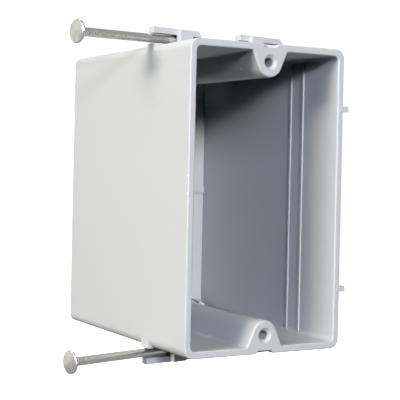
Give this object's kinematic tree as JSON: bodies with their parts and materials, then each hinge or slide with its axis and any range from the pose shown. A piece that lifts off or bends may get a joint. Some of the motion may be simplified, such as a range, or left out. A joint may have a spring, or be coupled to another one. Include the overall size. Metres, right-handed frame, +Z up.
{
  "type": "nail-on switch box",
  "caption": "Plastic wall box for a single switch or outlet, open at the front, with captive nails in holders on its top and bottom and slanted cable flaps at the back.",
  "frame": {"origin": "centre of the open front, midway between the two device screws, in the plane of the rim", "axes": "+X to the stud side, +Y to the back of the box, +Z up"},
  "size_m": [0.0882, 0.0851, 0.1066],
  "materials": {
    "grey_plastic": "smooth moulded, light grey",
    "nail_steel": "bright drawn wire"
  },
  "bodies": {
    "box": {"box_body": "grey_plastic"},
    "upper_nail": {"upper_nail": "nail_steel"},
    "lower_nail": {"lower_nail": "nail_steel"}
  },
  "joints": [
    {"name": "upper_nail_slide", "type": "slide", "parent": "box", "child": "upper_nail", "axis": [0.9832, 0.1822, 0.0098], "range_m": [0, 0.0262]},
    {"name": "lower_nail_slide", "type": "slide", "parent": "box", "child": "lower_nail", "axis": [0.9832, 0.1822, 0.0098], "range_m": [0, 0.0262]}
  ]
}
